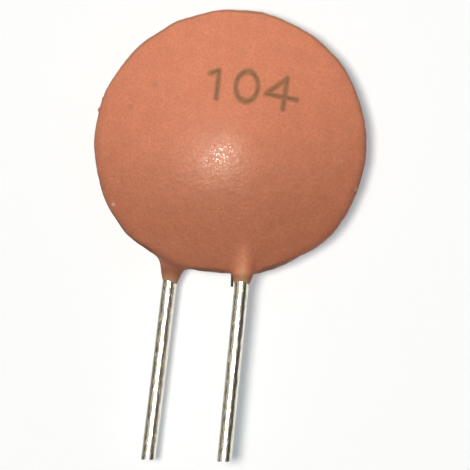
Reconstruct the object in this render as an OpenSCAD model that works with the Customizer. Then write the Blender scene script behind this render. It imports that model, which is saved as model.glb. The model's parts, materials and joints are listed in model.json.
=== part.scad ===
// Dipped ceramic disc capacitor with two radial wire leads, in millimetres.
// It lies on its rear face: X runs across the leads, Y away from them, Z out of the printed face.

/* [Ceramic disc] */
// Diameter of the fired ceramic disc
ceramic_d = 7.8; // [6.8:0.1:9.6]
// Thickness of the ceramic disc
ceramic_t = 0.4; // [0.3:0.05:0.7]
// Bevel round the ceramic disc's two edges
ceramic_bevel = 0.06; // [0.02:0.01:0.1]

/* [Silver electrodes] */
// Ring of bare ceramic left round each electrode
electrode_margin = 0.5; // [0.3:0.05:0.7]
// Thickness of the silver fired on each face
electrode_t = 0.03; // [0.02:0.01:0.06]

/* [Leads] */
// Diameter of the tinned wire
lead_d = 0.5; // [0.4:0.05:0.6]
// Distance between the two leads, halfway down their bare legs
lead_pitch = 2.54; // [2.2:0.01:3]
// Sideways shift of the pair from the middle of the disc
lead_shift = -0.3; // [-0.4:0.05:0.4]
// Outward lean of each bare leg, in degrees
lead_splay = 0.65; // [0.6:0.05:1.5]
// Length of a bare leg, from the resin to its cut end
lead_len = 6.2; // [4:0.1:9]
// Depth of a lead's bend inside its resin run
bend_depth = 0.12; // [0.1:0.01:0.18]
// Length of wire that the bend takes up
bend_len = 0.1; // [0.06:0.01:0.16]
// Swell of the wire at its bend
bend_swell = 0.01; // [0.005:0.005:0.02]
// Reach of the buried end past the middle of the disc
lead_rise = 1.2; // [0.8:0.1:1.5]
// Bevel left on the end by the cutter
lead_snip = 0.04; // [0.02:0.01:0.08]

/* [Solder] */
// Solder between a lead and its electrode
solder_film = 0.05; // [0.03:0.01:0.1]
// Solder over the top of a lead
solder_cover = 0.12; // [0.08:0.01:0.2]
// Solder past the buried end of a lead
solder_lap = 0.34; // [0.2:0.02:0.5]
// Straight length of a solder mound, between its round ends
solder_len = 1.6; // [1:0.1:2]

/* [Resin coating] */
// Resin past the edge of the ceramic disc
rim_cover = 0.77; // [0.6:0.01:1]
// Resin over the solder, at the crown of each face
crown_cover = 0.75; // [0.5:0.05:0.9]
// Rounding radius of the rim
rim_round = 0.6; // [0.5:0.01:0.7]
// Rounding radius of each crown
crown_round = 5; // [4:0.1:6]
// Depth of the flat on the rim between the leads
flat_cut = 0.27; // [0.15:0.01:0.35]
// Lean of the two faces that blend the flat into the domes, in degrees
flat_lean = 45; // [35:1:55]
// Resin over a lead where it makes a ridge on the face
lead_cover = 0.18; // [0.17:0.01:0.24]
// Resin left round a lead at the end of its run
run_edge = 0.05; // [0.04:0.01:0.1]
// Length of the resin run on the front lead, past the flat
front_run = 0.25; // [0.2:0.01:0.6]
// Length of the resin run on the rear lead, past the flat
rear_run = 0.5; // [0.2:0.01:0.8]

/* [Hidden] */
$fn = 96;
ceramic_r = ceramic_d / 2;
electrode_r = ceramic_r - ceramic_bevel - electrode_margin;
lead_r = lead_d / 2;
solder_r = solder_film + lead_d + solder_cover;
ridge_r = lead_r + lead_cover;
// heights over the disc's middle plane
face_z = ceramic_t / 2 + electrode_t;
lead_z = face_z + solder_film + lead_r;
body_h = face_z + solder_r + crown_cover;
// reaches from the disc's axis
body_r = ceramic_r + rim_cover;
flat_y = body_r - flat_cut;
bend_pitch = lead_pitch - (2 * bend_depth + lead_len) * tan(lead_splay);
front_x = lead_shift + bend_pitch / 2;
rear_x = lead_shift - bend_pitch / 2;
// the straight flank of the lens touches the rim's circle and the crown's circle
rim_centre = body_r - rim_round;
crown_drop = crown_round - body_h;
flank = atan2(rim_centre, crown_drop) - acos((crown_round - rim_round) / norm([rim_centre, crown_drop]));
crown_edge = [crown_round * sin(flank), body_h - crown_round * (1 - cos(flank))];
rim_edge = [rim_centre + rim_round * sin(flank), rim_round * cos(flank)];
// the box round the part has its bottom centre at the origin
leg_len = bend_depth + lead_len;
tip_y = flat_y + max(front_run, rear_run) - bend_depth + leg_len * cos(lead_splay);
disc_y = (tip_y - body_r) / 2;

// Puts the disc's middle at its place over the origin
module placed() {
    translate([0, disc_y, body_h]) children();
}

// Turns a front piece into its rear twin
module to_rear() {
    mirror([0, 0, 1]) children();
}

// Rounded top of the half lens
module crown_cap() {
    intersection() {
        translate([0, -crown_drop]) circle(r = crown_round);
        translate([0, crown_edge.y]) square([crown_edge.x, crown_round]);
    }
}

// Half of the lens, to be turned round the disc's axis
module lens_half() {
    polygon([[0, crown_edge.y], crown_edge, rim_edge,
             [rim_edge.x, -rim_edge.y], [crown_edge.x, -crown_edge.y], [0, -crown_edge.y]]);
    intersection() {
        translate([rim_centre, 0]) circle(r = rim_round);
        translate([rim_edge.x, -rim_round]) square([rim_round, 2 * rim_round]);
    }
    crown_cap();
    mirror([0, 1]) crown_cap();
}

// Space on the disc's side of the flat: a wedge with a round nose, running across the leads
module flat_side() {
    nose = rim_round - flat_y;
    near = [nose - rim_round * sin(flat_lean), rim_round * cos(flat_lean)];
    far = near + 4 * body_r * [cos(flat_lean), sin(flat_lean)];
    rotate([90, 0, 90])
        linear_extrude(height = 4 * body_r, center = true) {
            translate([nose, 0]) circle(r = rim_round);
            polygon([near, far, [far.x, -far.y], [near.x, -near.y]]);
        }
}

// Resin round a lead: a ridge on the face, then a run that thins towards its end
module run(x, z, length) {
    translate([x, -flat_y, z]) {
        rotate([-90, 0, 0]) cylinder(r = ridge_r, h = flat_y);
        rotate([90, 0, 0]) cylinder(r1 = ridge_r, r2 = lead_r + run_edge, h = length);
    }
}

// One lead: straight over the disc, bent inside its run, then a bare leg that leans outward
module wire(side, x, z, run_length) {
    bend_y = flat_y + run_length - bend_depth;
    translate([x, -bend_y, z]) {
        rotate([-90, 0, 0]) cylinder(r = lead_r, h = bend_y + lead_rise);
        rotate([90, 0, 0]) cylinder(r = lead_r + bend_swell, h = bend_len, center = true);
        rotate([90, 0, side * lead_splay]) {
            cylinder(r = lead_r, h = leg_len - lead_snip);
            translate([0, 0, leg_len - lead_snip])
                cylinder(r1 = lead_r, r2 = lead_r - lead_snip, h = lead_snip);
        }
    }
}

module front_wire() {
    wire(1, front_x, lead_z, front_run);
}

module rear_wire() {
    wire(-1, rear_x, -lead_z, rear_run);
}

// Solder mound on the front electrode, before the lead is taken from it
module mound(x) {
    top = lead_rise + solder_lap;
    intersection() {
        translate([x, top - solder_r, face_z]) {
            sphere(r = solder_r);
            rotate([90, 0, 0]) cylinder(r = solder_r, h = solder_len);
            translate([0, -solder_len, 0]) sphere(r = solder_r);
        }
        translate([x - 2 * solder_r, top - solder_len - 3 * solder_r, face_z])
            cube([4 * solder_r, solder_len + 4 * solder_r, 2 * solder_r]);
    }
}

module ceramic_blank() {
    side_z = ceramic_t / 2 - ceramic_bevel;
    face_r = ceramic_r - ceramic_bevel;
    rotate_extrude()
        polygon([[0, -ceramic_t / 2], [face_r, -ceramic_t / 2], [ceramic_r, -side_z],
                 [ceramic_r, side_z], [face_r, ceramic_t / 2], [0, ceramic_t / 2]]);
}

module silver_blank() {
    translate([0, 0, ceramic_t / 2]) cylinder(r = electrode_r, h = electrode_t);
}

module resin_coating() {
    color([0.78, 0.47, 0.35]) placed() difference() {
        union() {
            intersection() {
                rotate_extrude() lens_half();
                flat_side();
            }
            run(front_x, lead_z, front_run);
            run(rear_x, -lead_z, rear_run);
        }
        ceramic_blank();
        silver_blank();
        to_rear() silver_blank();
        mound(front_x);
        to_rear() mound(rear_x);
        front_wire();
        rear_wire();
    }
}

module ceramic_disc() {
    color([0.72, 0.62, 0.5]) placed() ceramic_blank();
}

module front_electrode() {
    color([0.82, 0.82, 0.8]) placed() silver_blank();
}

module rear_electrode() {
    color([0.82, 0.82, 0.8]) placed() to_rear() silver_blank();
}

module front_solder() {
    color([0.66, 0.67, 0.68]) placed() difference() {
        mound(front_x);
        front_wire();
    }
}

module rear_solder() {
    color([0.66, 0.67, 0.68]) placed() difference() {
        to_rear() mound(rear_x);
        rear_wire();
    }
}

module front_lead() {
    color([0.8, 0.79, 0.75]) placed() front_wire();
}

module rear_lead() {
    color([0.8, 0.79, 0.75]) placed() rear_wire();
}

resin_coating();
ceramic_disc();
front_electrode();
rear_electrode();
front_solder();
rear_solder();
front_lead();
rear_lead();
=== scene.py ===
import json
from math import ceil, cos, pi, radians, sin, tan

import bpy
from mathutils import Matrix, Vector


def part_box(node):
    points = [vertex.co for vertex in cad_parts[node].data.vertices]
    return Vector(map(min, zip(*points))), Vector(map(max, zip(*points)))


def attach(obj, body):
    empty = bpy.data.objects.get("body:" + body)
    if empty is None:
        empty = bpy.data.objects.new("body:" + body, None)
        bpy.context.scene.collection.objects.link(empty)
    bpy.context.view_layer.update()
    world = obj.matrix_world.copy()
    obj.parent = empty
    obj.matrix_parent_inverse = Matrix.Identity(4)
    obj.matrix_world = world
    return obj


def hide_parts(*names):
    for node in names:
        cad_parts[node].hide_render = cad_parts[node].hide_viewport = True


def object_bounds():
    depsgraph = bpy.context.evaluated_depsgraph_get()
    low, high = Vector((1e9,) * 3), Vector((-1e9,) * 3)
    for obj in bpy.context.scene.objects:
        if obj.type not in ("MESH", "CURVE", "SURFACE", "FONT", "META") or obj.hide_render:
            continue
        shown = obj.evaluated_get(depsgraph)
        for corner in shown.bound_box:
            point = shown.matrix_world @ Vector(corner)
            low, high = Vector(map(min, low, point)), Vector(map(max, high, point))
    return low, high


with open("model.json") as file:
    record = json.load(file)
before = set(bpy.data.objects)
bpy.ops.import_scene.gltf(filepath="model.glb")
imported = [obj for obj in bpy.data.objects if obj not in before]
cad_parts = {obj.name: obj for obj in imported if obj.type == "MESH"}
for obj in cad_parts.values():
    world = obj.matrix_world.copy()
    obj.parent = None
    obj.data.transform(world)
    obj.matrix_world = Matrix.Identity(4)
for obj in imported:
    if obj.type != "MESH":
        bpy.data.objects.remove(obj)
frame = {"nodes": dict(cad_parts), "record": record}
cad_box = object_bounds()

# Ceramic disc: the capacitor's dielectric, a thin tablet of titanate powder, pressed and fired to
# a dull tan. It lies in the middle of the part, under the silver, the solder and the resin.
MM = 0.001
CERAMIC_TAN = (0.45, 0.34, 0.24, 1)
CERAMIC_PALE = (0.53, 0.42, 0.31, 1)
CERAMIC_GRAIN = 0.08
CERAMIC_GRAIN_DEPTH = 0.01
CERAMIC_ROUGHNESS, CERAMIC_UNEVEN = 0.8, 0.15
MIX_SHARE, MIX_FIRST, MIX_SECOND, MIX_COLOUR = 0, 6, 7, 2


class Signal:
    """A node's output that takes part in sums: each operator adds the Math node that works it out."""

    def __init__(self, socket):
        self.socket = socket
        self.tree = socket.id_data

    @classmethod
    def node(cls, tree, kind, settings=None, sockets=None, output=0):
        """Adds any other node: its settings first, then the values or links of its sockets."""
        made = tree.nodes.new(kind)
        for name, value in (settings or {}).items():
            setattr(made, name, value)
        feed(made, sockets or {})
        return cls(made.outputs[output])

    @classmethod
    def maths(cls, operation, *terms):
        """Adds the Math node for an operation on terms, of which at least one is a signal."""
        tree = next(term.tree for term in terms if isinstance(term, cls))
        return cls.node(tree, "ShaderNodeMath", {"operation": operation}, dict(enumerate(terms)))

    def __add__(self, other):
        return self.maths("ADD", self, other)

    def __radd__(self, other):
        return self.maths("ADD", other, self)

    def __sub__(self, other):
        return self.maths("SUBTRACT", self, other)

    def __rsub__(self, other):
        return self.maths("SUBTRACT", other, self)

    def __mul__(self, other):
        return self.maths("MULTIPLY", self, other)

    def __rmul__(self, other):
        return self.maths("MULTIPLY", other, self)

    def __truediv__(self, other):
        return self.maths("DIVIDE", self, other)

    def __rtruediv__(self, other):
        return self.maths("DIVIDE", other, self)

    def __neg__(self):
        return self.maths("MULTIPLY", self, -1.0)

    def __abs__(self):
        return self.maths("ABSOLUTE", self)


def feed(made, sockets):
    """Sets or links the input sockets of a node, each by its name or number."""
    for key, value in sockets.items():
        if isinstance(value, Signal):
            made.id_data.links.new(value.socket, made.inputs[key])
        else:
            made.inputs[key].default_value = value


def new_finish(name):
    """A new material, its shader node, and the place on the piece in mm."""
    material = bpy.data.materials.new(name)
    material.use_nodes = True
    shader = material.node_tree.nodes["Principled BSDF"]
    metres = Signal.node(material.node_tree, "ShaderNodeTexCoord", output="Object")
    return material, shader, scaled(metres, 1 / MM)


def scaled(vector, factor):
    """A vector made longer or shorter by a factor."""
    sockets = {"Vector": vector, "Scale": factor}
    return Signal.node(vector.tree, "ShaderNodeVectorMath", {"operation": "SCALE"}, sockets)


def noise(place, size, detail=2.0, seed=0.0):
    """Soft random blobs about size mm across, from 0 to 1."""
    sockets = {"Vector": place, "W": seed, "Scale": 1 / size, "Detail": detail}
    return Signal.node(place.tree, "ShaderNodeTexNoise", {"noise_dimensions": "4D"}, sockets)


def mixed(share, first, second):
    """A colour that goes from the first to the second as share goes from 0 to 1."""
    sockets = {MIX_SHARE: share, MIX_FIRST: first, MIX_SECOND: second}
    return Signal.node(share.tree, "ShaderNodeMix", {"data_type": "RGBA"}, sockets, output=MIX_COLOUR)


def bumped(height, depth):
    """A shading normal for a height of 0 to 1 that stands depth mm high."""
    return Signal.node(height.tree, "ShaderNodeBump", sockets={"Height": height, "Distance": depth * MM})


def dress(node, material):
    """Gives a solid of the frame its finish."""
    frame["nodes"][node].material_slots[0].material = material


fired_ceramic, shader, place = new_finish("fired_ceramic")
grain = noise(place, CERAMIC_GRAIN, detail=4.0)
feed(shader, {
    "Base Color": mixed(grain, CERAMIC_TAN, CERAMIC_PALE),
    "Roughness": CERAMIC_ROUGHNESS + CERAMIC_UNEVEN * grain,
    "Normal": bumped(grain, CERAMIC_GRAIN_DEPTH),
})
dress("ceramic_disc", fired_ceramic)

# Silver electrodes: a paste of silver and glass, screened on both faces of the ceramic and fired to
# a dull skin. Each stops short of the ceramic's edge, and the screen's mesh leaves it faintly mottled.
SILVER_WHITE = (0.8, 0.79, 0.76, 1)
SILVER_DULL = (0.62, 0.6, 0.56, 1)
SCREEN_MESH = 0.12
SCREEN_MESH_DEPTH = 0.004
SILVER_ROUGHNESS, SILVER_UNEVEN = 0.4, 0.2

fired_silver, shader, place = new_finish("fired_silver")
paste = noise(place, SCREEN_MESH, detail=3.0)
feed(shader, {
    "Base Color": mixed(paste, SILVER_WHITE, SILVER_DULL),
    "Metallic": 1.0,
    "Roughness": SILVER_ROUGHNESS + SILVER_UNEVEN * paste,
    "Normal": bumped(paste, SCREEN_MESH_DEPTH),
})
for node in ("front_electrode", "rear_electrode"):
    dress(node, fired_silver)

# Leads: copper-clad steel wire, drawn through a die and dipped in tin, one on each face of the disc.
# Each runs straight under the resin, leans outward once clear of it, and is cut square to the strip
# it came on.
CUT_SLANT = radians(6.3)
CUT_REACH = 0.5
WIRE_SIDES = 48
WIRE_STEP = 0.05
TIN_RIPPLE = 0.012
TIN_RIPPLE_SIZE = 0.45
TIN_BRIGHT = (0.9, 0.855, 0.75, 1)
TIN_DULL = (0.62, 0.57, 0.51, 1)
DULL_BAND = (0.45, 0.75)
TIN_ROUGHNESS, TIN_UNEVEN = 0.12, 0.16
# painted reflection: a dark band down each wire's left flank, fraying into the streaks, with a pale lip left
# at its very edge
DARK_REFLECTION = (0.1, 0.075, 0.05, 1)
DARK_REFLECTION_SHARE = 0.75
DARK_REFLECTION_FRAY = 0.8
DARK_REFLECTION_BAND = (0.52, 0.7)
PALE_LIP = 0.8
PALE_LIP_BAND = (0.84, 0.98)
STREAK_SIZE = 0.07
STREAK_DEPTH = 0.017
DRAWN_OUT = (1, 0.3, 1)


def new_recipe(name, sizes):
    """A Geometry Nodes tree with one named input for each size, and the signals that carry the sizes."""
    tree = bpy.data.node_groups.new(name, "GeometryNodeTree")
    tree.interface.new_socket("Geometry", in_out="OUTPUT", socket_type="NodeSocketGeometry")
    for label, size in sizes.items():
        kind = "NodeSocketVector" if isinstance(size, Vector) else "NodeSocketFloat"
        tree.interface.new_socket(label, in_out="INPUT", socket_type=kind)
    given = tree.nodes.new("NodeGroupInput")
    return tree, {label: Signal(given.outputs[label]) for label in sizes}


def end_recipe(shape, centre, material):
    """Takes a shape from mm round a centre to the frame's metres, and gives it its finish."""
    tree = shape.tree
    grown = Signal.node(tree, "GeometryNodeTransform",
                        sockets={"Geometry": shape, "Translation": centre, "Scale": (MM, MM, MM)})
    smooth = Signal.node(tree, "GeometryNodeSetShadeSmooth", sockets={"Geometry": grown})
    whole = Signal.node(tree, "GeometryNodeRealizeInstances", sockets={"Geometry": smooth})
    clad = Signal.node(tree, "GeometryNodeSetMaterial", sockets={"Geometry": whole, "Material": material})
    feed(tree.nodes.new("NodeGroupOutput"), {"Geometry": clad})


def make_piece(name, tree, sizes):
    """Runs a recipe on its sizes and keeps the plain mesh that it makes."""
    piece = bpy.data.objects.new(name, bpy.data.meshes.new(name))
    bpy.context.scene.collection.objects.link(piece)
    recipe = piece.modifiers.new("recipe", "NODES")
    recipe.node_group = tree
    for socket in tree.interface.items_tree:
        if socket.in_out == "INPUT":
            recipe[socket.identifier] = sizes[socket.name]
    graph = bpy.context.evaluated_depsgraph_get()
    mesh = bpy.data.meshes.new_from_object(piece.evaluated_get(graph))
    piece.modifiers.remove(recipe)
    piece.data = mesh
    return piece


def split(vector):
    """The three coordinates of a vector."""
    first = Signal.node(vector.tree, "ShaderNodeSeparateXYZ", sockets={0: vector})
    return [Signal(socket) for socket in first.socket.node.outputs]


def joined(x, y, z):
    """A vector from its three coordinates, of which at least one is a signal."""
    tree = next(part.tree for part in (x, y, z) if isinstance(part, Signal))
    return Signal.node(tree, "ShaderNodeCombineXYZ", sockets={0: x, 1: y, 2: z})


def ramp(value, low, high):
    """Goes smoothly from 0 to 1 as a value goes from low to high."""
    settings = {"interpolation_type": "SMOOTHSTEP"}
    return Signal.node(value.tree, "ShaderNodeMapRange", settings, {0: value, 1: low, 2: high})


def kept(shape, name, value):
    """Keeps a value on each point of a shape under a name that its finish reads."""
    sockets = {"Geometry": shape, "Name": name, "Value": value}
    return Signal.node(shape.tree, "GeometryNodeStoreNamedAttribute", sockets=sockets)


def kept_value(place, name):
    """The value that a mesh keeps under a name."""
    return Signal.node(place.tree, "ShaderNodeAttribute", {"attribute_name": name}, output="Fac")


def moved(shape, offset):
    """Moves each point of a shape by an offset."""
    return Signal.node(shape.tree, "GeometryNodeSetPosition", sockets={"Geometry": shape, "Offset": offset})


def rod(line, sides, radius):
    """A round rod along a line, closed at both ends."""
    ring = Signal.node(line.tree, "GeometryNodeCurvePrimitiveCircle",
                       sockets={"Resolution": sides, "Radius": radius})
    return Signal.node(line.tree, "GeometryNodeCurveToMesh",
                       sockets={"Curve": line, "Profile Curve": ring, "Fill Caps": True})


def wire_recipe(sizes, material):
    """A round wire down -Y that leans aside below its bend, with ripples of tin and a slanting cut."""
    tree, size = new_recipe("drawn_wire", sizes)
    ends = {"Start": joined(0.0, size["Top"], 0.0), "End": joined(0.0, size["Tip"], 0.0)}
    line = Signal.node(tree, "GeometryNodeCurvePrimitiveLine", sockets=ends)
    stepped = Signal.node(tree, "GeometryNodeResampleCurve", {"mode": "LENGTH"},
                          {"Curve": line, "Length": WIRE_STEP})
    swept = rod(stepped, WIRE_SIDES, size["Radius"])
    place = Signal.node(tree, "GeometryNodeInputPosition")
    x, y, _ = split(place)
    marked = kept(swept, "flank", x / size["Radius"])
    slant = x * size["Cut Slope"] * ramp(y, size["Tip"] + CUT_REACH, size["Tip"])
    cut = moved(marked, joined(0.0, slant, 0.0))
    normal = Signal.node(tree, "GeometryNodeInputNormal")
    tin = noise(place, TIN_RIPPLE_SIZE, seed=size["Seed"]) - 0.5
    rippled = moved(cut, scaled(normal, tin * size["Ripple"]))
    lean = size["Lean"] * Signal.maths("MAXIMUM", size["Bend"] - y, 0.0)
    end_recipe(moved(rippled, joined(lean, 0.0, 0.0)), size["Place"], material)
    return tree


def bare_leg(mount):
    """A lead's bare leg as the record gives it: its sizes, its direction, and where it leaves the resin."""
    leg = next(entry for entry in frame["record"]["mounts"] if entry["name"] == mount)
    axis = Vector(leg["axis"])
    return leg["dims"], axis, Vector(leg["pos_m"]) - axis * leg["dims"]["length_mm"] * MM / 2


tinned_wire, shader, place = new_finish("tinned_wire")
drawn = Signal.node(place.tree, "ShaderNodeMapping", sockets={"Vector": place, "Scale": DRAWN_OUT})
streaks = noise(drawn, STREAK_SIZE, detail=3.0)
left = -kept_value(place, "flank")
# painted dark reflection on the left flank of each wire, kept off its outermost lip
painted_dark_reflection = ramp(left + DARK_REFLECTION_FRAY * (streaks - 0.5), *DARK_REFLECTION_BAND)
painted_dark_reflection = painted_dark_reflection * (1 - PALE_LIP * ramp(left, *PALE_LIP_BAND))
tin = mixed(ramp(streaks, *DULL_BAND), TIN_BRIGHT, TIN_DULL)
feed(shader, {
    "Base Color": mixed(DARK_REFLECTION_SHARE * painted_dark_reflection, tin, DARK_REFLECTION),
    "Metallic": 1.0,
    "Roughness": TIN_ROUGHNESS + TIN_UNEVEN * streaks,
    "Normal": bumped(streaks, STREAK_DEPTH),
})

for node, mount, seed in (("front_lead", "front_leg", 3.0), ("rear_lead", "rear_leg", 8.0)):
    dims, axis, bend = bare_leg(mount)
    low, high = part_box(node)
    wire_sizes = {
        "Place": bend, "Top": (high.y - bend.y) / MM, "Tip": (low.y - bend.y) / MM, "Bend": 0.0,
        "Lean": -axis.x / axis.y, "Radius": dims["r_mm"], "Cut Slope": tan(CUT_SLANT),
        "Ripple": TIN_RIPPLE, "Seed": seed,
    }
    wire = make_piece(node + "_wire", wire_recipe(wire_sizes, tinned_wire), wire_sizes)
    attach(wire, "root")
    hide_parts(node)

# Solder: a mound on each electrode, let run over the end of its lead and set dull as it cooled.
# It holds the lead on the silver and carries the current between them.
SOLDER_GREY = (0.6, 0.6, 0.61, 1)
SOLDER_DARK = (0.4, 0.4, 0.42, 1)
SOLDER_GRAIN = 0.15
SOLDER_GRAIN_DEPTH = 0.006
SOLDER_ROUGHNESS, SOLDER_UNEVEN = 0.3, 0.2

solder, shader, place = new_finish("solder")
frost = noise(place, SOLDER_GRAIN, detail=3.0)
feed(shader, {
    "Base Color": mixed(frost, SOLDER_GREY, SOLDER_DARK),
    "Metallic": 1.0,
    "Roughness": SOLDER_ROUGHNESS + SOLDER_UNEVEN * frost,
    "Normal": bumped(frost, SOLDER_GRAIN_DEPTH),
})
for node in ("front_solder", "rear_solder"):
    dress(node, solder)

# Resin coating: the finished disc is dipped in phenolic resin, leads up, and the coat is cured to
# a hard salmon skin. It draws up to a blunt cone over the solder, lies flat at the rim between the
# leads and runs a little way down them.
VOXEL = 0.05
FIELD_MARGIN = 0.25
RUN_ROOM = 0.8
SETTLE_STEPS = 2
# two small lengths that keep a division off zero
TINY = 0.01
HAIR = 0.001
OVAL_TURN = radians(41)
RIM_SWELL = 0.005
RIM_WAVER_SIZE = 1.0
CORNERS = ((radians(-59), 1.0), (radians(-115), 0.5))
NIBS = (Vector((-4.45, 1.06, 0)), Vector((-4.55, 0.68, 0)))
NIB_BLEND = 0.04
RUN_HEAD = 0.1
RUN_LAP = 0.01
FLARE_LEAST, FLARE_GAIN = 0.76, 0.24
FLARE_WIDTH = 0.4
COVER_RISE = 0.12
COVER_START = 4.3
RIPPLE_SIZE = 1.6
PEEL_SIZE = 0.3
DRIP_STEPS = 12
DRIP_SIDES = 16

ceramic_low, ceramic_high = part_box("ceramic_disc")
disc = (ceramic_low + ceramic_high) / 2
coat_low, coat_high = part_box("resin_coating")
coat_reach = (coat_high - coat_low) / 2 / MM
coat_sizes = {
    "Place": disc, "Rim Radius": coat_reach.x + RIM_SWELL, "Half Height": coat_reach.z,
    "Crown": Vector((0.18, -0.22, 0)), "Crown Blunt": 0.5, "Flank Slope": 0.36, "Lower Fall": 0.066,
    "Rim Rounding": 0.3, "Equator": 0.12, "Rim Centre": Vector((0.02, -0.04, 0)), "Oval": 0.045,
    "Flat Reach": 4.44, "Corner Reach": 4.57, "Corner Blend": 0.5, "Rim Waver": 0.16, "Nib Radius": 0.1,
    "Ridge Rise": 0.02, "Ridge Start": -2.4, "Blend": 0.32,
    "Front Ridge": 0.35, "Front Shift": 0.0, "Front Reach": 0.02, "Front Meniscus": 0.1,
    "Front Flare": 0.0, "Front Spare": 0.0, "Front Spare Slope": 0.3,
    "Rear Ridge": 0.36, "Rear Shift": 0.02, "Rear Reach": 0.05, "Rear Meniscus": 0.03,
    "Rear Flare": 0.5, "Rear Spare": 0.06, "Rear Spare Slope": 0.0,
    "Ripple": 0.03, "Peel": 0.0095, "Seed": 5.0,
    "Drip Top": Vector((0.573, -4.36, 0.38)), "Drip End": Vector((0.615, -4.86, 0.36)), "Drip Radius": 0.045,
}
for side, mount in (("Front", "front_leg"), ("Rear", "rear_leg")):
    dims, _, bend = bare_leg(mount)
    coat_sizes[f"{side} Lead"] = (bend - disc) / MM
    coat_sizes["Lead Radius"] = dims["r_mm"]


def across(*sides):
    """The length of the diagonal over two or three sides."""
    squares = [side * side for side in sides]
    return Signal.maths("SQRT", sum(squares[1:], squares[0]))


def larger(first, second, blend=None):
    """The larger of two values, with the crease between them rounded over a blend."""
    if blend is None:
        return Signal.maths("MAXIMUM", first, second)
    return Signal.maths("SMOOTH_MAX", first, second, blend)


def smaller(first, second, blend=None):
    """The smaller of two values, with the crease between them rounded over a blend."""
    if blend is None:
        return Signal.maths("MINIMUM", first, second)
    return Signal.maths("SMOOTH_MIN", first, second, blend)


def least(distances):
    """The smallest of several distances."""
    nearest = distances[0]
    for other in distances[1:]:
        nearest = smaller(nearest, other)
    return nearest


def dome_gap(size, x, y, z):
    """The distance to the two domes, blunt cones above the crown and bowls on the side of the leads."""
    crown_x, crown_y, _ = split(size["Crown"])
    from_crown = across(x - crown_x, y - crown_y, TINY)
    upper = across(from_crown * size["Flank Slope"], size["Crown Blunt"]) - size["Crown Blunt"]
    lower = size["Lower Fall"] * from_crown * from_crown
    drop = upper + (lower - upper) * ramp((crown_y - y) / from_crown, -1.0, 1.0)
    return (across(z, size["Equator"]) - size["Half Height"] + drop) / across(size["Flank Slope"], 1.0)


def rim_gap(size, place, x, y, z):
    """The distance to the rim's wall, a wavering oval with a flat, two corners and two nibs of resin."""
    centre_x, centre_y, _ = split(size["Rim Centre"])
    rim_x, rim_y = x - centre_x, y - centre_y
    radius = across(rim_x, rim_y)
    long_way = rim_x * cos(OVAL_TURN) + rim_y * sin(OVAL_TURN)
    short_way = rim_y * cos(OVAL_TURN) - rim_x * sin(OVAL_TURN)
    oval = size["Oval"] * (long_way * long_way - short_way * short_way) / (radius * radius + TINY)
    gap = larger(radius - size["Rim Radius"] - oval, -y - size["Flat Reach"], size["Corner Blend"])
    for turn, share in CORNERS:
        corner = x * cos(turn) + y * sin(turn) - size["Corner Reach"]
        gap = larger(gap, corner, share * size["Corner Blend"])
    gap = gap + (noise(place, RIM_WAVER_SIZE, seed=size["Seed"] + 1) - 0.5) * size["Rim Waver"]
    for nib in NIBS:
        gap = smaller(gap, across(x - nib.x, y - nib.y, z) - size["Nib Radius"], NIB_BLEND)
    return gap


def run_gap(size, side, x, y, z):
    """The distance to the resin along one lead, how softly it joins the body, and its depth on the wire."""
    lead_x, lead_y, lead_z = split(size[f"{side} Lead"])
    aside = x - lead_x - size[f"{side} Shift"]
    around = across(aside, z - lead_z, HAIR)
    head = RUN_HEAD - size["Flat Reach"]
    end = size[f"{side} Reach"] - lead_y + size[f"{side} Meniscus"] * aside * aside / (around * around)
    spent = larger(head - y, 0.0) / (end + head)
    bare = size["Lead Radius"] - RUN_LAP
    thick = bare + (size[f"{side} Ridge"] - bare) * (1 - spent * spent)
    thick = thick + size["Ridge Rise"] * larger(y + size["Flat Reach"], 0.0)
    gap = across(around, larger(y - size["Ridge Start"], 0.0)) - thick
    flare = size[f"{side} Flare"] * (FLARE_LEAST + FLARE_GAIN * ramp(-aside, 0.0, FLARE_WIDTH))
    spare = size[f"{side} Spare"] + size[f"{side} Spare Slope"] * abs(aside)
    cover = around - size["Lead Radius"] + spare + COVER_RISE * larger(y + COVER_START, 0.0)
    return gap, size["Blend"] + flare, cover


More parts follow.
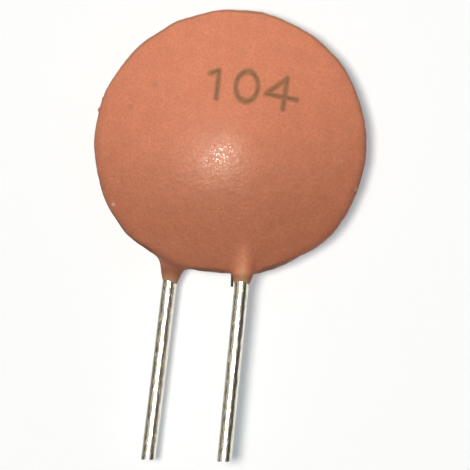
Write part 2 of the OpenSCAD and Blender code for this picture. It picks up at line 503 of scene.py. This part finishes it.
def coat_recipe(sizes, material):
    """The resin as a distance to its surface, in mm from the middle of the disc, turned into a mesh."""
    tree, size = new_recipe("dipped_resin", sizes)
    place = Signal.node(tree, "GeometryNodeInputPosition")
    x, y, z = split(place)
    edge = rim_gap(size, place, x, y, z)
    body = larger(dome_gap(size, x, y, z), edge, size["Rim Rounding"])
    covers = []
    for side in ("Front", "Rear"):
        run, blend, cover = run_gap(size, side, x, y, z)
        body = smaller(body, run, blend)
        covers.append(cover)
    swell = (noise(place, RIPPLE_SIZE, seed=size["Seed"]) - 0.5) * size["Ripple"]
    peel = (noise(place, PEEL_SIZE, seed=size["Seed"]) - 0.5) * size["Peel"]
    gap = body + swell + peel
    reach = sizes["Rim Radius"] + FIELD_MARGIN
    height = sizes["Half Height"] + FIELD_MARGIN
    field_low = Vector((-reach, -reach - RUN_ROOM, -height))
    field_high = Vector((reach, reach, height))
    counts = [ceil(side / VOXEL) for side in field_high - field_low]
    cube = Signal.node(tree, "GeometryNodeVolumeCube", sockets={
        "Density": -gap, "Background": -1.0, "Min": field_low, "Max": field_high,
        "Resolution X": counts[0], "Resolution Y": counts[1], "Resolution Z": counts[2]})
    skin = Signal.node(tree, "GeometryNodeVolumeToMesh", {"resolution_mode": "GRID"},
                       {"Volume": cube, "Threshold": 0.0})
    normal = Signal.node(tree, "GeometryNodeInputNormal")
    for _ in range(SETTLE_STEPS):
        skin = moved(skin, scaled(normal, -gap))
    skin = kept(kept(skin, "cover", least(covers)), "edge", edge)
    thread = Signal.node(tree, "GeometryNodeCurvePrimitiveLine",
                         sockets={"Start": size["Drip Top"], "End": size["Drip End"]})
    thread = Signal.node(tree, "GeometryNodeResampleCurve", sockets={"Curve": thread, "Count": DRIP_STEPS})
    drip = kept(kept(rod(thread, DRIP_SIDES, size["Drip Radius"]), "cover", 1.0), "near_black", 1.0)
    whole = Signal.node(tree, "GeometryNodeJoinGeometry", sockets={"Geometry": skin})
    feed(whole.socket.node, {"Geometry": drip})
    end_recipe(whole, size["Place"], material)
    return tree


SALMON = (0.614, 0.206, 0.112, 1)
SALMON_DARK = (0.554, 0.183, 0.099, 1)
SALMON_GREY = (0.505, 0.183, 0.103, 1)
CLOUD_SIZE = 0.5
CLOUD_BAND = (0.3, 0.7)
GRAIN_SIZE = 0.1
GRAIN_BAND = (0.4, 0.75)
PORE_SIZE = 0.12
PORE_DEPTH = 0.013
PALE_SPECK = (0.78, 0.5, 0.36, 1)
SPECK_SIZE = 0.07
SPECK_BAND = (0.4, 0.7)
SPECKS = 0.1
DOT_SPACING = 0.075
DOT_EDGE = (0.2, 0.5)
DOT_GLOSS_BAND = (-0.1, 0.7)
DOT_GLOSS = 0.9
PALE_DOT_BAND = (0.98, 0.99)
PALE_DOTS = 0.35
FACE_BAND = (0.05, 0.15)
# two small pale spots near the rim
PALE_SPOTS = ((-3.745, -2.5), (4.49, -1.08))
PALE_SPOT_RADIUS = 0.09
PALE_SPOT = 0.8
SMUDGE_GREY = (0.25, 0.17, 0.1, 1)
SMUDGES = ((-2.758, 1.755), (-3.51, 0.894))
SMUDGE_RADIUS = 0.13
SMUDGE = 0.45
FAINT_SMUDGES = ((0.165, 3.153), (3.741, -0.443))
FAINT_SMUDGE_RADIUS = 0.16
FAINT_SMUDGE = 0.16
SPOT_CORE = 0.3
# painted shade on the runs, below the rim's flat
PAINTED_RUN_SHADE = (0.33, 0.125, 0.075, 1)
RUN_SHADE_BAND = (4.38, 4.5)
RUN_SHADE = 0.7
RESIN_TAN = (0.55, 0.31, 0.16, 1)
THIN_BAND = (0.02, 0.2)
# the resin drip is coloured near black
NEAR_BLACK = (0.05, 0.042, 0.028, 1)


def spots(x, y, places, radius):
    """Soft round spots at places on the face: 1 in the middle of a spot, 0 outside."""
    nearest = least([across(x - spot_x, y - spot_y) for spot_x, spot_y in places])
    return 1 - ramp(nearest, SPOT_CORE * radius, radius)


resin, shader, place = new_finish("resin")
from_disc = Signal.node(place.tree, "ShaderNodeVectorMath", {"operation": "SUBTRACT"},
                        {0: place, 1: disc / MM})
x, y, z = split(from_disc)
cover = kept_value(place, "cover")
edge = kept_value(place, "edge")
face = ramp(z, *FACE_BAND)
cloud = noise(place, CLOUD_SIZE, detail=3.0)
grain = noise(place, GRAIN_SIZE, seed=4.0)
pores = noise(place, PORE_SIZE, seed=2.0)
specks = noise(place, SPECK_SIZE, seed=6.0)
cells = Signal.node(place.tree, "ShaderNodeTexVoronoi", sockets={"Vector": place, "Scale": 1 / DOT_SPACING})
chance, luck, _ = split(Signal(cells.socket.node.outputs["Color"]))
dots = (1 - ramp(cells, *DOT_EDGE)) * ramp(chance, *DOT_GLOSS_BAND)

# painted shade at the rim, darker towards the top, lower left and bottom: how strong each dark line is, its
# band in mm from the edge, and where it grows in
RIM_SHADE_BROWN = (0.2, 0.09, 0.045, 1)
RIM_SHADE, RIM_SHADE_BAND = 0.1, (-0.4, -0.06)
UPPER_LINE, UPPER_LINE_BAND, UPPER_LINE_GROWTH = 0.6, (-0.13, -0.04), (-1.0, 3.5)
UPPER_LINE_LEAST = 0.04
LEFT_LINE, LEFT_LINE_BAND, LEFT_LINE_GROWTH = 0.8, (-0.1, -0.03), (5.5, 6.3)
LOWER_LINE, LOWER_LINE_BAND, LOWER_LINE_GROWTH = 0.65, (-0.17, -0.05), (3.4, 4.2)
RUN_TOP, RUN_SIDE, RUN_CLEARS = (3.6, 4.0), (0.5, 1.0), 0.85
BRIM_END, BRIM_COVER = (0.02, 0.08), (0.2, 0.7)

over_run = ramp(-y, *RUN_TOP) * (1 - ramp(abs(x - coat_sizes["Rear Lead"].x), *RUN_SIDE))
clear = 1 - RUN_CLEARS * over_run
upper_line = UPPER_LINE_LEAST + UPPER_LINE * ramp(y, *UPPER_LINE_GROWTH)
left_line = LEFT_LINE * clear * ramp(-x - y, *LEFT_LINE_GROWTH)
lower_line = LOWER_LINE * clear * ramp(-y, *LOWER_LINE_GROWTH)
# painted shade along the rim's edge, kept off the runs
painted_rim_shade = RIM_SHADE * ramp(edge, *RIM_SHADE_BAND)
for line, band in (
        (upper_line, UPPER_LINE_BAND),
        (left_line, LEFT_LINE_BAND),
        (lower_line, LOWER_LINE_BAND)):
    painted_rim_shade = painted_rim_shade + line * ramp(edge, *band)
brim = (1 - ramp(edge, *BRIM_END)) * ramp(cover, *BRIM_COVER)

# the value code's pen strokes, in mm from the middle of the disc
INK_OLIVE = (0.14, 0.09, 0.042, 1)
ONE = (((-0.915, 2.325), (-0.63, 2.463)), ((-0.63, 2.463), (-0.63, 1.492)))
FOUR = (((1.717, 2.439), (1.061, 1.837)), ((1.061, 1.837), (2.112, 1.743)), ((1.717, 2.439), (1.679, 1.377)))
ZERO_CENTRE, ZERO_WIDTH, ZERO_HEIGHT, ZERO_RADIUS = (0.371, 2.01), 0.38, 0.51, 0.42
INK_WEAR_SIZE = 0.2
INK_FRAY = 0.12
INK_EDGE = (0.02, 0.15)
INK_LEAST, INK_GAIN = 0.25, 0.95


def stroke(x, y, start, end):
    """The distance from a point to a straight pen stroke."""
    run, rise = end[0] - start[0], end[1] - start[1]
    share = ((x - start[0]) * run + (y - start[1]) * rise) / (run * run + rise * rise)
    share = Signal.node(x.tree, "ShaderNodeClamp", sockets={"Value": share})
    return across(x - start[0] - share * run, y - start[1] - share * rise)


strokes = [stroke(x, y, start, end) for start, end in ONE + FOUR]
ring = across((x - ZERO_CENTRE[0]) / ZERO_WIDTH, (y - ZERO_CENTRE[1]) / ZERO_HEIGHT)
strokes.append(abs(ring - 1) * ZERO_RADIUS)
wear = noise(place, INK_WEAR_SIZE, detail=3.0)
ink = (1 - ramp(least(strokes) + INK_FRAY * (wear - 0.5), *INK_EDGE)) * face * (INK_LEAST + INK_GAIN * wear)

colour = SALMON
for share, tint in (
        (ramp(cloud, *CLOUD_BAND), SALMON_DARK),
        (ramp(grain, *GRAIN_BAND), SALMON_GREY),
        (SPECKS * ramp(specks, *SPECK_BAND), PALE_SPECK),
        (PALE_DOTS * dots * ramp(luck, *PALE_DOT_BAND), PALE_SPECK),
        (PALE_SPOT * face * spots(x, y, PALE_SPOTS, PALE_SPOT_RADIUS), PALE_SPECK),
        (SMUDGE * face * spots(x, y, SMUDGES, SMUDGE_RADIUS), SMUDGE_GREY),
        (FAINT_SMUDGE * face * spots(x, y, FAINT_SMUDGES, FAINT_SMUDGE_RADIUS), SMUDGE_GREY),
        # painted shade on the runs below the rim
        (RUN_SHADE * ramp(-y, *RUN_SHADE_BAND), PAINTED_RUN_SHADE),
        (1 - ramp(cover, *THIN_BAND), RESIN_TAN),
        (brim * painted_rim_shade, RIM_SHADE_BROWN),
        (kept_value(place, "near_black"), NEAR_BLACK),
        (ink, INK_OLIVE)):
    colour = mixed(share, colour, tint)

# the skin is dull at the rim and on the runs, and its glossy dots stop short of them
RESIN_ROUGHNESS, CLOUD_ROUGHNESS, DULL_ROUGHNESS, DOT_ROUGHNESS = 0.35, 0.06, 0.24, 0.2
RESIN_SHEEN, RESIN_SHEEN_TINT = 0.28, (1, 0.95, 0.85, 1)
DULL_RIM, DULL_RUN, GLOSS_END = (-0.2, -0.06), (3.2, 3.9), (-3.8, -3.0)
dull = larger(ramp(edge, *DULL_RIM), ramp(-y, *DULL_RUN))
feed(shader, {
    "Base Color": colour,
    "Roughness": RESIN_ROUGHNESS + CLOUD_ROUGHNESS * cloud + DULL_ROUGHNESS * dull,
    "Specular IOR Level": RESIN_SHEEN,
    "Specular Tint": RESIN_SHEEN_TINT,
    "Normal": bumped(pores, PORE_DEPTH),
    "Coat Weight": DOT_GLOSS * dots * ramp(y, *GLOSS_END),
    "Coat Roughness": DOT_ROUGHNESS,
})

coat = make_piece("resin_skin", coat_recipe(coat_sizes, resin), coat_sizes)
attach(coat, "root")
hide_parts("resin_coating")

# Stage: the part lies on its back on a sheet of white card, under soft studio light.
# The camera looks straight down through a long lens, turned so that the part leans as it was laid.
CARD_SIDE = 4.0
CARD_WHITE = (0.94, 0.94, 0.94, 1)
CARD_BOUNCE = (0.4, 0.4, 0.4, 1)
CARD_ROUGHNESS = 0.9
CARD_GLOW = (0.02, 0.056, 0.078, 1)
UNLIT = (0, 0, 0, 1)
ROOM_GREY = (0.07, 0.064, 0.058, 1)
CAMERA_ROLL = CUT_SLANT
PIXEL = 0.03437
IMAGE_SIDE = 470
AIM = Vector((0.526, 0.128, 1.65)) * MM
CAMERA_RANGE = 0.25
CLIP_START = 0.01
SENSOR = 36.0

bpy.ops.mesh.primitive_plane_add(size=CARD_SIDE, location=(0, 0, cad_box[0].z))
card = bpy.context.object
card.name = "white_card"
white, shader, place = new_finish("white_card")
rays = [Signal.node(place.tree, "ShaderNodeLightPath", output=f"Is {ray} Ray")
        for ray in ("Camera", "Glossy", "Transmission")]
seen = larger(larger(rays[0], rays[1]), rays[2])
feed(shader, {
    "Base Color": mixed(seen, CARD_BOUNCE, CARD_WHITE),
    "Roughness": CARD_ROUGHNESS,
    "Specular IOR Level": 0.0,
    "Emission Strength": 1.0,
    "Emission Color": mixed(seen, UNLIT, CARD_GLOW),
})
card.data.materials.append(white)

world = bpy.data.worlds.new("studio")
world.use_nodes = True
world.node_tree.nodes["Background"].inputs["Color"].default_value = ROOM_GREY
bpy.context.scene.world = world


def lamp(name, bearing, elevation, spread, share, reach=1.0, length=None, tint=(1, 1, 1)):
    """An area light aimed at the disc. Bearing goes anticlockwise from the picture's right, spread and
    length are the angles that it fills, and share is what it gives of a level white card's brightness."""
    bearing, elevation = radians(bearing) + CAMERA_ROLL, radians(elevation)
    toward = Vector((cos(bearing) * cos(elevation), sin(bearing) * cos(elevation), sin(elevation)))
    light = bpy.data.lights.new(name, "AREA")
    light.color = tint
    light.shape = "RECTANGLE" if length else "DISK"
    light.size = 2 * reach * tan(radians(spread) / 2)
    if length:
        light.size_y = 2 * reach * tan(radians(length) / 2)
    light.energy = pi * pi * share * reach * reach / sin(elevation)
    placed = bpy.data.objects.new(name, light)
    placed.location = disc + toward * reach
    placed.rotation_euler = (-toward).to_track_quat("-Z", "Y").to_euler()
    bpy.context.scene.collection.objects.link(placed)
    return placed


lamp("key", bearing=175, elevation=81.5, spread=11, share=0.655, tint=(1, 0.965, 0.91))
top = lamp("top", bearing=93, elevation=20, spread=32, share=0.32)
top.visible_glossy = False
halo = lamp("halo", bearing=175, elevation=81.5, spread=26, share=0.16, tint=(1, 0.93, 0.75))
halo.visible_diffuse = False
strip = lamp("strip", bearing=180, elevation=66, spread=20, share=0.15, length=104, tint=(1, 0.95, 0.82))
strip.visible_diffuse = False

unshaded = bpy.data.collections.new("unshaded")
bpy.context.scene.collection.children.link(unshaded)
unshaded.objects.link(card)
top.light_linking.blocker_collection = unshaded

camera = bpy.data.objects.new("camera", bpy.data.cameras.new("camera"))
camera.location = AIM + Vector((0, 0, CAMERA_RANGE))
camera.rotation_euler = (0, 0, CAMERA_ROLL)
camera.data.sensor_width = SENSOR
camera.data.lens = SENSOR * CAMERA_RANGE / (IMAGE_SIDE * PIXEL * MM)
camera.data.clip_start = CLIP_START
bpy.context.scene.collection.objects.link(camera)
bpy.context.scene.camera = camera
bpy.context.scene.view_settings.view_transform = "Standard"
